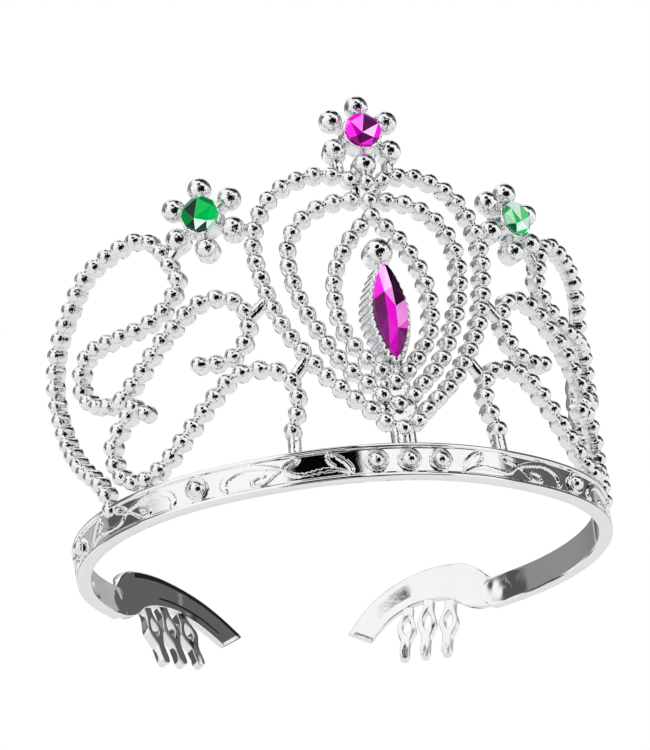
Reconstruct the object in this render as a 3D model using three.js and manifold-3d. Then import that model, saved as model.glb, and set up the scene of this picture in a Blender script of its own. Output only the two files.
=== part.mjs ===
// Costume tiara: one flat moulding bent to a C, with four glued stones.
// The shape is laid out as a flat pattern and then bent round the head:
//   u = distance along the band from its middle, v = height above the band's lower edge,
//   n = distance outward from the band's outer face.
// Frame: mm, +Z up, front faces -Y, +X to the right of someone facing the tiara.
import * as THREE from "three";
import { ConvexGeometry } from "three/addons/geometries/ConvexGeometry.js";
import { mergeVertices } from "three/addons/utils/BufferGeometryUtils.js";
import Module from "manifold-3d";

const wasm = await Module();
wasm.setup();

// ---- driving dimensions ----
const BAND_H = 7.7; // height of the band
const THICK = 3.2; // thickness of the band, and depth of the wires behind its face
const RIM = 0.45; // how far the rims stand above the field between them
const RIM_W = 0.95; // width of a rim
const BAND_END = 132.5; // from the middle of the band to either end
const FRONT_Y = -45; // where the middle of the band's face lies
const GAP = 0.3; // between neighbouring pieces

const CURVE_STEP = 30; // distance between the bending values below
const CURVE = [0.0205, 0.0095, 0.0225, 0.019, 0.0182, 0.02, 0.02]; // bend, 1/mm
const LEAN = 0.058; // backward lean of the whole openwork
const FLARE = 0.074; // outward lean of the sides
const FLARE_AT = 95; // distance along the band where the flare is full

const PITCH = 4.1; // from bead to bead
const BEAD_R = 1.92;
const NECK_R = 1.05;
const DOME_N = -1.0; // where the domes start

const STONE_R = 4.2;
const CUP_R = 4.5;
const PETAL_R = 2.6;
const PETAL_AT = 7.4;

// ---- the bend ----
const STEP = 0.5;
const plan = [];
{
  const bend = (u) => {
    let sum = 0;
    for (let k = -10; k <= 10; k++) {
      const a = Math.min(Math.abs(u + k), CURVE_STEP * (CURVE.length - 1) - 0.001);
      const i = Math.floor(a / CURVE_STEP);
      sum += THREE.MathUtils.lerp(CURVE[i], CURVE[i + 1], a / CURVE_STEP - i);
    }
    return sum / 21;
  };
  let x = 0, y = FRONT_Y, turn = 0;
  for (let u = 0; u <= 180; u += STEP) {
    plan.push([x, y, turn]);
    const mid = turn + (bend(u + STEP / 2) * STEP) / 2;
    x += Math.cos(mid) * STEP;
    y += Math.sin(mid) * STEP;
    turn += bend(u + STEP / 2) * STEP;
  }
}
// A point of the flat pattern in its place on the bent moulding.
function wrap(u, v, n) {
  const a = Math.abs(u) / STEP, i = Math.floor(a), t = a - i;
  const [x, y, turn] = plan[i].map((p, k) => p + (plan[i + 1][k] - p) * t);
  const out = n + FLARE * v * (u / FLARE_AT) ** 2;
  const side = u < 0 ? -1 : 1;
  return new THREE.Vector3(
    side * (x + Math.sin(turn) * out),
    y - Math.cos(turn) * out + LEAN * v,
    v,
  );
}

// ---- builders ----
const flip = (pts) => pts.map(([u, v]) => [-u, v]);

// Closed body through rings of points, with flat caps, facing out.
function loft(rings) {
  const m = rings[0].length, pos = [], idx = [];
  rings.forEach((ring) => ring.forEach((p) => pos.push(p.x, p.y, p.z)));
  for (let i = 0; i + 1 < rings.length; i++)
    for (let j = 0; j < m; j++) {
      const a = i * m + j, b = i * m + ((j + 1) % m);
      idx.push(a, b, b + m, a, b + m, a + m);
    }
  const last = (rings.length - 1) * m;
  for (let j = 1; j + 1 < m; j++) {
    idx.push(0, j + 1, j);
    idx.push(last, last + j, last + j + 1);
  }
  let volume = 0;
  const v = (k) => new THREE.Vector3(pos[3 * k], pos[3 * k + 1], pos[3 * k + 2]);
  for (let i = 0; i < idx.length; i += 3)
    volume += v(idx[i]).dot(v(idx[i + 1]).cross(v(idx[i + 2])));
  if (volume < 0) for (let i = 0; i < idx.length; i += 3) [idx[i + 1], idx[i + 2]] = [idx[i + 2], idx[i + 1]];
  const g = new THREE.BufferGeometry();
  g.setAttribute("position", new THREE.Float32BufferAttribute(pos, 3));
  g.setIndex(idx);
  return g;
}

// Path through control points, as evenly spaced stations with their direction.
function stations(points, count) {
  const curve = new THREE.CatmullRomCurve3(
    points.map(([u, v]) => new THREE.Vector3(u, v, 0)), false, "centripetal");
  curve.arcLengthDivisions = 600;
  return Array.from({ length: count + 1 }, (_, k) => ({
    at: curve.getPointAt(k / count),
    dir: curve.getTangentAt(k / count),
  }));
}
function pathLength(points) {
  const curve = new THREE.CatmullRomCurve3(
    points.map(([u, v]) => new THREE.Vector3(u, v, 0)), false, "centripetal");
  curve.arcLengthDivisions = 600;
  return curve.getLength();
}

// Beaded wire: domed beads on a flat-backed rib, the rib pinched in between the beads.
function beads(points) {
  const count = Math.max(1, Math.round(pathLength(points) / PITCH));
  return loft(stations(points, 2 * count).map(({ at, dir }, k) => {
    const w = k % 2 ? BEAD_R : NECK_R;
    const crest = DOME_N + (k % 2 ? BEAD_R : 0.8);
    return [
      [-w, -THICK], [w, -THICK], [w, DOME_N], [0.55 * w, crest], [-0.55 * w, crest], [-w, DOME_N],
    ].map(([s, n]) => wrap(at.x - dir.y * s, at.y + dir.x * s, n));
  }));
}

// Flat bar between two points of the pattern.
function bar([u0, v0], [u1, v1], half, back, front) {
  const d = new THREE.Vector2(u1 - u0, v1 - v0).normalize();
  return loft([[u0, v0], [u1, v1]].map(([u, v]) =>
    [[-half, back], [half, back], [half, front], [-half, front]].map(([s, n]) =>
      wrap(u - d.y * s, v + d.x * s, n))));
}

// Round body about the outward direction at one spot of the pattern: profile of [radius, n].
function turned(u, v, profile, sides) {
  const ring = ([r, n]) => Array.from({ length: sides }, (_, k) => {
    const a = (2 * Math.PI * (k + 0.5)) / sides;
    return local(u, v, r * Math.cos(a), r * Math.sin(a), n);
  });
  return loft(profile.map(ring));
}
// Straight axes at a spot of the pattern, so small round parts stay round.
function local(u, v, du, dv, n) {
  const e = 0.05, o = wrap(u, v, 0);
  const across = wrap(u + e, v, 0).sub(wrap(u - e, v, 0)).normalize();
  const up = wrap(u, v + e, 0).sub(wrap(u, v - e, 0)).normalize();
  const out = across.clone().cross(up).normalize();
  return o.addScaledVector(across, du).addScaledVector(up, dv).addScaledVector(out, n);
}

function toSolid(g) {
  const m = mergeVertices(g, 1e-4);
  return new wasm.Manifold(new wasm.Mesh({
    numProp: 3,
    vertProperties: new Float32Array(m.attributes.position.array),
    triVerts: new Uint32Array(m.index.array),
  }));
}
function join(list) {
  const mesh = list.map(toSolid).reduce((a, b) => a.add(b)).getMesh();
  const g = new THREE.BufferGeometry();
  g.setAttribute("position", new THREE.BufferAttribute(new Float32Array(mesh.vertProperties), 3));
  g.setIndex(new THREE.BufferAttribute(new Uint32Array(mesh.triVerts), 1));
  return g;
}

const group = new THREE.Group();
const SILVER = [0xd4d6da, 0.12, 1.0];
const MAGENTA = [0xb5118c, 0.05, 0.0];
const GREEN = [0x0c7a45, 0.05, 0.0];
function put(name, geometry, [color, roughness, metalness] = SILVER) {
  geometry.deleteAttribute("uv");
  geometry.deleteAttribute("normal");
  const mesh = new THREE.Mesh(
    geometry, new THREE.MeshStandardMaterial({ color, roughness, metalness }));
  mesh.name = name;
  group.add(mesh);
}
// The same piece on the left and, mirrored, on the right.
function putPair(name, make) {
  put("left_" + name, make(-1));
  put("right_" + name, make(1));
}
const onSide = (side, pts) => (side < 0 ? pts : flip(pts));

// ---- headband: strip with a raised rim along both edges of its outer face ----
{
  const section = [
    [-THICK, BAND_H / 2], [-THICK, 0.3], [-THICK + 0.3, 0], [0, 0], [0, RIM_W],
    [-RIM, RIM_W + 0.5], [-RIM, BAND_H - RIM_W - 0.5], [0, BAND_H - RIM_W], [0, BAND_H],
    [-THICK + 0.3, BAND_H], [-THICK, BAND_H - 0.3],
  ];
  const count = 76, rings = [];
  for (let k = 0; k <= count; k++) {
    const u = BAND_END * (-1 + (2 * k) / count);
    rings.push(section.map(([n, v]) => wrap(u, v, n)));
  }
  put("headband", loft(rings));
}
// Half-round studs on the band's field.
const STUD = [[2.6, -RIM + GAP + 0.1], [2.6, 0.3], [2.15, 1.3], [1.1, 1.95]];
[["stud_front_left", -7.1], ["stud_front_middle", 0], ["stud_front_right", 7.1],
  ["stud_side_left", -46.3], ["stud_side_right", 46.3],
  ["stud_rear_left", -87.5], ["stud_rear_right", 87.5]].forEach(([name, u]) =>
  put(name, turned(u, BAND_H / 2, STUD, 12)));

// ---- openwork wires ----
const OUTER_RAIL = [
  [-71.9, 8.3], [-73, 11.6], [-76.2, 15.4], [-81.7, 20.2], [-85.6, 24.6], [-88.6, 29.2],
  [-91, 34.5], [-92.3, 39.6], [-92, 43.8], [-90.4, 47.3], [-87.8, 50.6], [-84.3, 53.5],
  [-80, 56.2], [-76.2, 58.8],
];
const OUTER_CREST = [
  [-74.3, 60.1], [-70.3, 63.2], [-65.4, 64.9], [-60, 65.9], [-55.6, 66.6], [-51.8, 65.6],
  [-49, 62.5], [-47.2, 58.8], [-45.6, 54.6],
];
const OUTER_HOOK = [
  [-45.8, 52.2], [-47.4, 49.9], [-50.2, 47.2], [-53.8, 45.5], [-58, 45], [-62.6, 45],
  [-67.4, 45.2], [-72.4, 44.8], [-75.9, 42.2], [-77, 38], [-74, 33.4], [-68.6, 30.6],
  [-64, 29.9], [-60.6, 27.8], [-56.6, 24.6],
];
const MIDDLE_VINE = [
  [-60.6, 32.1], [-58.4, 33.6], [-55.4, 36.4], [-52.8, 38.7], [-50, 41.1], [-46.7, 43.4],
  [-43.4, 45.9], [-39.8, 47.3], [-35.8, 47.1], [-32.3, 45.1], [-30.6, 41], [-31.1, 37.2],
  [-33.4, 34], [-37.2, 32.6], [-43, 33],
];
const INNER_VINE = [
  [-24.1, 11.6], [-23.8, 13.6], [-22.4, 17.5], [-21.9, 21.6], [-23.2, 25.3], [-26.1, 27.8],
  [-30, 28.6], [-34.4, 28.2], [-37.8, 26.2], [-40.6, 23.7], [-43.8, 20.7], [-46.8, 17.7],
  [-50.1, 14.8], [-53.4, 12.1], [-57.8, 10.4], [-62.1, 10.3], [-66, 12.4], [-68.3, 16.3],
  [-68.2, 20.4], [-65.2, 23.4], [-63.4, 24.2],
];
const OUTER_LOOP = [
  [-0.45, 72], [-2.4, 72], [-5.8, 73.4], [-10.2, 74.2], [-14.4, 73.7], [-18.6, 72.3],
  [-22.2, 69.8], [-25, 66.2], [-26.8, 62], [-27.5, 57.8], [-27.2, 53.6], [-26.5, 49.7],
  [-25.6, 45.5], [-24.4, 41.2], [-22.8, 37.2], [-20.7, 33.2], [-18.3, 29.5], [-16, 25.9],
  [-13.2, 22.5], [-9.9, 19.2], [-6.4, 16.1], [-3.6, 13.2], [-0.75, 11.6],
];
const MIDDLE_LOOP = [
  [-0.45, 67.2], [-3, 67.3], [-7, 67.2], [-11.2, 66.1], [-14.9, 64.1], [-17.8, 61.2],
  [-19.6, 57.6], [-20.2, 53.4], [-19.9, 49.2], [-19.1, 45.3], [-18, 41.5], [-16.3, 37.4],
  [-14.5, 33.5], [-12.3, 29.2], [-9.3, 25.2], [-6, 21.9], [-3.5, 19.3], [-0.8, 17.7],
];
const INNER_LOOP = [
  [-0.9, 62.6], [-3, 60.5], [-5.7, 57.5], [-7.9, 54.1], [-9.8, 50.2], [-10.8, 46.2],
  [-11, 42.1], [-10.7, 38.2], [-9.6, 34.2], [-7.6, 30.6], [-5.2, 27.5], [-2.3, 24.4], [-1, 23.2],
];
const trimmed = {
  outer_rail: OUTER_RAIL,
  outer_crest: OUTER_CREST,
  outer_hook: OUTER_HOOK,
  middle_vine: MIDDLE_VINE,
  inner_vine: INNER_VINE,
  outer_loop: OUTER_LOOP,
  middle_loop: MIDDLE_LOOP,
  inner_loop: INNER_LOOP,
};
for (const [name, pts] of Object.entries(trimmed))
  putPair(name, (side) => beads(onSide(side, pts)));

// Plain bars that tie the wires together and stand them on the band.
putPair("post", (side) => bar([side * 24.1, BAND_H + GAP], [side * 24.1, 11.1], 1.2, -THICK, -0.6));
putPair("upper_link", (side) => bar([side * 29, 43.3], [side * 28.3, 43.4], 0.8, -THICK, -0.9));
putPair("lower_link", (side) => bar([side * 21.4, 26.9], [side * 20.3, 27.4], 0.9, -THICK, -0.9));
put("centre_post", bar([0, BAND_H + GAP], [0, 9.1], 2.4, -THICK, -0.6));

// ---- flower settings: a cup with six ball petals on short stalks ----
const BALL = (r, n) => [[r, -THICK], [r, n], [0.87 * r, n + 0.5 * r], [0.5 * r, n + 0.87 * r]];
function flower(u, v) {
  const parts = [turned(u, v, [[CUP_R, -THICK], [CUP_R, 1.2], [CUP_R - 0.5, 1.5]], 16)];
  for (let k = 0; k < 6; k++) {
    const a = Math.PI / 2 + (k * Math.PI) / 3;
    const du = Math.cos(a), dv = Math.sin(a);
    parts.push(turned(u + PETAL_AT * du, v + PETAL_AT * dv, BALL(PETAL_R, -0.7), 10));
    parts.push(bar([u + 3 * du, v + 3 * dv], [u + 6 * du, v + 6 * dv], 1, -THICK + 0.1, -1.1));
  }
  return join(parts);
}
// Round stone with a flat back, a thin girdle, sloping facets and an eight-sided table.
const stone = (u, v) => turned(u, v, [[3.7, 1.5 + GAP], [STONE_R, 2.4], [2.3, 4.4]], 8);
const FLOWERS = [["top", 0, 83.7, MAGENTA], ["left", -37.6, 67, GREEN], ["right", 37.6, 67, GREEN]];
for (const [name, u, v, color] of FLOWERS) {
  put("flower_" + name, flower(u, v));
  put("stone_" + name, stone(u, v), color);
}

// ---- navette stone in its collet, with a ball above it ----
const NAVETTE_V = 38.1, NAVETTE_L = 11.2, NAVETTE_W = 3.7;
function boat(length, width, n) {
  const pts = [];
  for (let k = 0; k < 16; k++) {
    const a = (2 * Math.PI * k) / 16;
    const s = Math.sin(a), c = Math.cos(a);
    pts.push(local(0, NAVETTE_V, width * c * Math.sqrt(1 - 0.35 * s * s), length * s * (0.8 + 0.2 * s * s), n));
  }
  return pts;
}
put("collet", new ConvexGeometry([
  ...boat(NAVETTE_L + 0.8, NAVETTE_W + 1.6, -THICK), ...boat(NAVETTE_L + 0.7, NAVETTE_W + 1.4, 1.6)]));
put("stone_navette", new ConvexGeometry([
  ...boat(NAVETTE_L - 0.4, NAVETTE_W - 0.3, 1.6 + GAP), ...boat(NAVETTE_L, NAVETTE_W, 2.6),
  local(0, NAVETTE_V, 0, 7.5, 4.8), local(0, NAVETTE_V, 0, -7.5, 4.8)]), MAGENTA);
put("ball", turned(0, 53.7, BALL(3.25, -0.6), 12));

// ---- combs: an arched plate behind each band end, with three eyed teeth ----
const COMB_BACK = -2.5, COMB_FRONT = 0.2;
const COMB_TOP = [
  [132.9, 8.4], [134.4, 11.6], [138, 14], [142.5, 14.9], [148.5, 14.6], [154.5, 12.6],
  [160, 9.3], [164.8, 4.8], [169.2, -0.5],
];
const COMB_LOW = [
  [132.9, 0.4], [137.4, 2], [141, 4.4], [144.5, 5.6], [149, 5.8], [153.4, 4.7],
  [157.5, 2.6], [161.2, -0.6], [163.8, -3.3],
];
const TEETH = [[142.2, 4.0, 144.9, -10.2], [147.8, 5.2, 150.6, -10.0], [153.2, 3.7, 156, -9.8]];
function combPlate(side) {
  const top = stations(onSide(side, flip(COMB_TOP)), 16), low = stations(onSide(side, flip(COMB_LOW)), 16);
  return loft(top.map(({ at: t }, k) => {
    const b = low[k].at;
    return [[b, COMB_BACK], [b, COMB_FRONT], [t, COMB_FRONT], [t, COMB_BACK]].map(([p, n]) =>
      wrap(p.x, p.y, n));
  }));
}
// Tooth outline: half-widths along the length, with a slot through the wide part.
const TOOTH = [[0, 1.25], [0.14, 1.25], [0.28, 1.9], [0.4, 2.35], [0.54, 1.8], [0.66, 1.2], [0.94, 1.1], [1, 0.7]];
function tooth(side, [u0, v0, u1, v1]) {
  const len = Math.hypot(u1 - u0, v1 - v0);
  const shape = new THREE.Shape([
    ...TOOTH.map(([t, w]) => new THREE.Vector2(-w, -t * len)),
    ...TOOTH.map(([t, w]) => new THREE.Vector2(w, -t * len)).reverse(),
  ]);
  const slot = [[0, 0.27], [0.5, 0.34], [0.5, 0.44], [0, 0.53], [-0.5, 0.44], [-0.5, 0.34]];
  shape.holes.push(new THREE.Path(slot.map(([x, t]) => new THREE.Vector2(x, -t * len))));
  const g = new THREE.ExtrudeGeometry(shape, { depth: 2.4, bevelEnabled: false, steps: 1 });
  g.deleteAttribute("uv");
  g.deleteAttribute("normal");
  const flat = mergeVertices(g, 1e-4), p = flat.attributes.position;
  const du = (u1 - u0) / len, dv = (v1 - v0) / len;
  for (let i = 0; i < p.count; i++) {
    const s = -p.getY(i), x = p.getX(i);
    const q = wrap(side * (u0 + du * s - dv * x), v0 + dv * s + du * x, COMB_BACK + 0.1 + p.getZ(i));
    p.setXYZ(i, q.x, q.y, q.z);
  }
  // A mirrored tooth comes out inside out, so its faces are turned round.
  if (toSolid(flat).volume() < 0) {
    const idx = flat.index.array;
    for (let i = 0; i < idx.length; i += 3) [idx[i + 1], idx[i + 2]] = [idx[i + 2], idx[i + 1]];
  }
  return flat;
}
putPair("comb_plate", combPlate);
TEETH.forEach((t, k) => putPair("comb_tooth_" + (k + 1), (side) => tooth(side, t)));

export default group;
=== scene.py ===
"""Costume tiara: one chrome-plated flat moulding bent to a C, with four glued stones.

Every part is laid out in the moulding's flat pattern, in millimetres, and then bent:
  u = distance along the band from its middle, v = height above the band's lower edge,
  n = distance outward from the band's outer face.
"""
import math

import bmesh
import bpy
import numpy as np
from mathutils import Matrix, Vector


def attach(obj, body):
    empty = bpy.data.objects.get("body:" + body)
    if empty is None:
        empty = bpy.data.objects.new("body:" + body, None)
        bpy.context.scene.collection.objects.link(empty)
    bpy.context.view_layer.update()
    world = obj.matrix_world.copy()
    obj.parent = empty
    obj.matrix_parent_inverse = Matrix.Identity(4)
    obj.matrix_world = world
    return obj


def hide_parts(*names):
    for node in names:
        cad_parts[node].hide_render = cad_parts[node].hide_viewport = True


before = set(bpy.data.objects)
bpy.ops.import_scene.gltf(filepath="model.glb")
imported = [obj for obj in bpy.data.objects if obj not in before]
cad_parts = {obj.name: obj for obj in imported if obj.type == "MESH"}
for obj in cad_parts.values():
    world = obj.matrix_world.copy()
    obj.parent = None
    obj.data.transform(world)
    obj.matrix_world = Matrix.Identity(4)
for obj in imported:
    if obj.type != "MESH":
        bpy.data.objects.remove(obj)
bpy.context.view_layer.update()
MM = 0.001

# ---- driving dimensions in mm; the bend and the layout are the same as the CAD model's ----
BAND_H = 7.7
THICK = 3.2  # of the whole moulding: its flat back lies at n = -THICK
RIM = 0.45  # depth of the band's field below its rims
BAND_END = 132.5  # distance along the band from its middle to either end
FRONT_Y = -45.0
CURVE_STEP = 30.0  # spacing along the band of the curvatures below, in radians per mm
CURVE = [0.0205, 0.0095, 0.0225, 0.019, 0.0182, 0.02, 0.02]
CURVE_BLUR = 10  # they are averaged over this many mm either way
PLAN_STEP, PLAN_REACH = 0.5, 180.0
LEAN = 0.058  # backward lean of everything, per mm of height
FLARE = 0.074  # outward lean at FLARE_AT along the band, per mm of height
FLARE_AT = 95.0
PITCH = 4.1  # from one bead to the next
BEAD_R = 1.92
NECK_R = 0.98
WAIST_R = 0.94 * NECK_R  # half-width midway between two beads
DOME_N = -1.0  # where a bead's straight skirt turns into its dome
SKIRT_N = -2.1
STONE_R = 4.2
CUP_R = 4.5
PETAL_R = 2.68
PETAL_AT = 7.4  # from the middle of a flower to the middle of a petal


# ---- the bend ----
def make_plan():
    """The bent centre line seen from above, as rows of distance, x, y and turn."""
    def bend(u):
        total = 0.0
        for k in range(-CURVE_BLUR, CURVE_BLUR + 1):
            a = min(abs(u + k), CURVE_STEP * (len(CURVE) - 1) - 0.001)
            i = int(a // CURVE_STEP)
            total += CURVE[i] + (CURVE[i + 1] - CURVE[i]) * (a / CURVE_STEP - i)
        return total / (2 * CURVE_BLUR + 1)

    x, y, turn, rows = 0.0, FRONT_Y, 0.0, []
    for k in range(int(PLAN_REACH / PLAN_STEP) + 1):
        rows.append((k * PLAN_STEP, x, y, turn))
        turned = bend(k * PLAN_STEP + PLAN_STEP / 2) * PLAN_STEP
        x += math.cos(turn + turned / 2) * PLAN_STEP
        y += math.sin(turn + turned / 2) * PLAN_STEP
        turn += turned
    return np.array(rows)


PLAN = make_plan()


def wrap(u, v, n):
    """Points of the flat pattern in their place on the bent moulding, in mm."""
    u, v, n = np.broadcast_arrays(*(np.asarray(a, float) for a in (u, v, n)))
    a, side = np.abs(u), np.where(u < 0, -1.0, 1.0)
    x, y, turn = (np.interp(a, PLAN[:, 0], PLAN[:, k]) for k in (1, 2, 3))
    out = n + FLARE * v * (u / FLARE_AT) ** 2
    return np.stack(
        [side * (x + np.sin(turn) * out), y - np.cos(turn) * out + LEAN * v, v], -1)


def local(u, v, du, dv, n):
    """Straight axes at one spot of the pattern, so that small round parts stay round."""
    e = 0.05
    across = wrap(u + e, v, 0) - wrap(u - e, v, 0)
    up = wrap(u, v + e, 0) - wrap(u, v - e, 0)
    across, up = across / np.linalg.norm(across), up / np.linalg.norm(up)
    out = np.cross(across, up)
    out /= np.linalg.norm(out)
    du, dv, n = (np.asarray(a, float)[..., None] for a in np.broadcast_arrays(du, dv, n))
    return wrap(u, v, 0) + across * du + up * dv + out * n


# ---- mesh helpers ----
CREASE = 40  # usual angle in degrees over which an edge stays sharp


def new_object(name, verts, faces, sharp=None):
    """Object from points in mm and faces, with its faces turned outward."""
    me = bpy.data.meshes.new(name)
    me.from_pydata([tuple(p) for p in np.asarray(verts) * MM], [], faces)
    bm = bmesh.new()
    bm.from_mesh(me)
    bmesh.ops.remove_doubles(bm, verts=bm.verts, dist=1e-7)
    bmesh.ops.recalc_face_normals(bm, faces=bm.faces)
    bm.to_mesh(me)
    bm.free()
    ob = bpy.data.objects.new(name, me)
    bpy.context.scene.collection.objects.link(ob)
    shade(ob, sharp)
    return ob


def shade(ob, sharp):
    """Smooth shading with creases over the given angle in degrees; None is flat shading."""
    me = ob.data
    me.polygons.foreach_set("use_smooth", [sharp is not None] * len(me.polygons))
    if sharp is not None:
        me.set_sharp_from_angle(angle=math.radians(sharp))


def loft_faces(rings, count):
    """Quads between successive rings of count points, with a cap at both ends."""
    faces = []
    for i in range(rings - 1):
        for j in range(count):
            a, b = i * count + j, i * count + (j + 1) % count
            faces.append((a, b, b + count, a + count))
    faces.append(tuple(range(count)))
    faces.append(tuple(range((rings - 1) * count, rings * count)))
    return faces


def spindle_faces(rings, sides):
    """Quads between rings that lie between a first and a last point on the axis."""
    faces = []
    for i in range(rings - 1):
        for j in range(sides):
            a, b = 1 + i * sides + j, 1 + i * sides + (j + 1) % sides
            faces.append((a, b, b + sides, a + sides))
    last_ring, last_point = 1 + (rings - 1) * sides, 1 + rings * sides
    for j in range(sides):
        faces.append((0, 1 + (j + 1) % sides, 1 + j))
        faces.append((last_point, last_ring + j, last_ring + (j + 1) % sides))
    return faces


def apply_modifiers(ob):
    dg = bpy.context.evaluated_depsgraph_get()
    dg.update()
    me = bpy.data.meshes.new_from_object(ob.evaluated_get(dg))
    old = ob.data
    ob.modifiers.clear()
    ob.data = me
    bpy.data.meshes.remove(old)


def fuse(base, others):
    """Joins closed bodies to the base in one skin, and removes them."""
    for other in others:
        m = base.modifiers.new("join", "BOOLEAN")
        m.operation, m.object, m.solver = "UNION", other, "MANIFOLD"
        apply_modifiers(base)
        me = other.data
        bpy.data.objects.remove(other)
        bpy.data.meshes.remove(me)
    shade(base, CREASE)


def smooth_path(points, per_span=24):
    """Centripetal Catmull-Rom curve through the control points, as a fine polyline."""
    p = np.array(points, float)
    p = np.vstack([2 * p[0] - p[1], p, 2 * p[-1] - p[-2]])
    out = []
    for i in range(1, len(p) - 2):
        p0, p1, p2, p3 = p[i - 1:i + 3]
        t = [0.0]
        for a, b in ((p0, p1), (p1, p2), (p2, p3)):
            t.append(t[-1] + max(np.linalg.norm(b - a) ** 0.5, 1e-4))
        for s in np.linspace(t[1], t[2], per_span, endpoint=False):
            a1 = p0 + (p1 - p0) * (s - t[0]) / (t[1] - t[0])
            a2 = p1 + (p2 - p1) * (s - t[1]) / (t[2] - t[1])
            a3 = p2 + (p3 - p2) * (s - t[2]) / (t[3] - t[2])
            b1 = a1 + (a2 - a1) * (s - t[0]) / (t[2] - t[0])
            b2 = a2 + (a3 - a2) * (s - t[1]) / (t[3] - t[1])
            out.append(b1 + (b2 - b1) * (s - t[1]) / (t[2] - t[1]))
    out.append(p[-2])
    return np.array(out)


class Path:
    """A smooth line in the flat pattern, measured by distance along it."""

    def __init__(self, points):
        self.p = smooth_path(points)
        self.s = np.concatenate([[0], np.cumsum(np.linalg.norm(np.diff(self.p, axis=0), axis=1))])
        self.length = self.s[-1]

    def at(self, s):
        return np.stack([np.interp(s, self.s, self.p[:, k]) for k in range(self.p.shape[1])], -1)

    def side(self, s):
        """Unit vector to the left of the line."""
        e = 0.4
        s = np.clip(s, e, self.length - e)
        d = self.at(s + e) - self.at(s - e)
        d /= np.linalg.norm(d, axis=-1, keepdims=True)
        return np.stack([-d[..., 1], d[..., 0]], -1)


# ---- beaded wires ----
BEAD_STEPS = 11  # points round a bead's dome, and rings along it
BEAD_END = math.radians(88)  # how far round the last bead of a row is carried
BEAD_DOME = np.linspace(0, math.pi, BEAD_STEPS)


def bead_section(r):
    """Half-round front on a straight skirt with a flat back, for half-width r."""
    c = min(0.22, 0.3 * r)  # bevel at the back
    pts = [(r * math.cos(a), DOME_N + r * math.sin(a)) for a in BEAD_DOME]
    pts += [(-r, SKIRT_N), (-r, -THICK + c), (-r + c, -THICK), (0, -THICK),
            (r - c, -THICK), (r, -THICK + c), (r, SKIRT_N)]
    return pts


def bead_rings(centres, round_lo, round_hi):
    """Stations along a row of beads as (distance, half-width)."""
    edge = math.acos(NECK_R / BEAD_R)
    rings = []
    for k, c in enumerate(centres):
        lo = -BEAD_END if k == 0 and round_lo else -edge
        hi = BEAD_END if k == len(centres) - 1 and round_hi else edge
        if k == 0 and not round_lo:
            rings.append((c - PITCH / 2, WAIST_R))
        for a in np.linspace(lo, hi, BEAD_STEPS):
            rings.append((c + BEAD_R * math.sin(a), BEAD_R * math.cos(a)))
        if k + 1 < len(centres):
            rings.append(((c + centres[k + 1]) / 2, WAIST_R))
        elif not round_hi:
            rings.append((c + PITCH / 2, WAIST_R))
    return rings


def bead_row(name, path, centres, round_lo=True, round_hi=True):
    """Row of beads on a path, each end either round or cut at the waist."""
    rings = bead_rings(centres, round_lo, round_hi)
    verts = []
    for s, r in rings:
        spot, side = path.at(np.array(s)), path.side(np.array(s))
        along = np.array([side[1], -side[0]])
        spot = spot + along * (s - min(max(s, 0.0), path.length))  # straight on past the ends
        w, n = np.array(bead_section(r)).T
        verts.append(wrap(spot[0] + side[0] * w, spot[1] + side[1] * w, n))
    return new_object(
        name, np.concatenate(verts), loft_faces(len(rings), len(verts[0])), sharp=50)


def spread(path):
    """Bead centres evenly spaced along the path at close to the usual pitch."""
    return np.linspace(0.0, path.length, max(1, round(path.length / PITCH)) + 1)


# ---- round bodies ----
def lathe(u, v, profile, sides):
    """Closed body about the outward direction; the profile (r, n) starts and ends on the axis."""
    a = 2 * math.pi * np.arange(sides) / sides
    verts = [local(u, v, 0.0, 0.0, profile[0][1])]
    for r, n in profile[1:-1]:
        verts.extend(local(u, v, r * np.cos(a), r * np.sin(a), n))
    verts.append(local(u, v, 0.0, 0.0, profile[-1][1]))
    return np.array(verts), spindle_faces(len(profile) - 2, sides)


def merged(name, bodies, sharp=CREASE):
    """One object holding several separate closed bodies, each given as points and faces."""
    verts, faces, base = [], [], 0
    for v, f in bodies:
        verts.append(v)
        faces += [tuple(base + i for i in face) for face in f]
        base += len(v)
    return new_object(name, np.concatenate(verts), faces, sharp)


def arc_points(r, n, start, end, steps):
    """Points (r, n) of an arc of radius r about height n on the axis."""
    return [(r * math.cos(a), n + r * math.sin(a)) for a in np.linspace(start, end, steps)]


def ball_profile(r, n, steps=9):
    """Domed pin: flat back with a small bevel, straight skirt, half-round front."""
    bevel = 0.25
    return [(0, -THICK), (r - bevel, -THICK), (r, -THICK + bevel),
            (r, (n - THICK) / 2)] + arc_points(r, n, 0, math.pi / 2, steps)


def strut(p, q, half, front, crown=0.5):
    """Bar from the moulding's back to a crowned front, between two spots of the pattern."""
    bevel, steps = 0.2, 6
    p, q = np.array(p, float), np.array(q, float)
    d = (q - p) / np.linalg.norm(q - p)
    side = np.array([-d[1], d[0]])
    sec = [(-half + bevel, -THICK), (half - bevel, -THICK), (half, -THICK + bevel)]
    sec += [(half * math.cos(a), front + crown * math.sin(a)) for a in np.linspace(0, math.pi, 9)]
    sec += [(-half, -THICK + bevel)]
    verts = []
    for t in np.linspace(0, 1, steps):
        spot = p + (q - p) * t
        for w, n in sec:
            verts.append(wrap(spot[0] + side[0] * w, spot[1] + side[1] * w, n))
    return np.array(verts), loft_faces(steps, len(sec))


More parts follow.
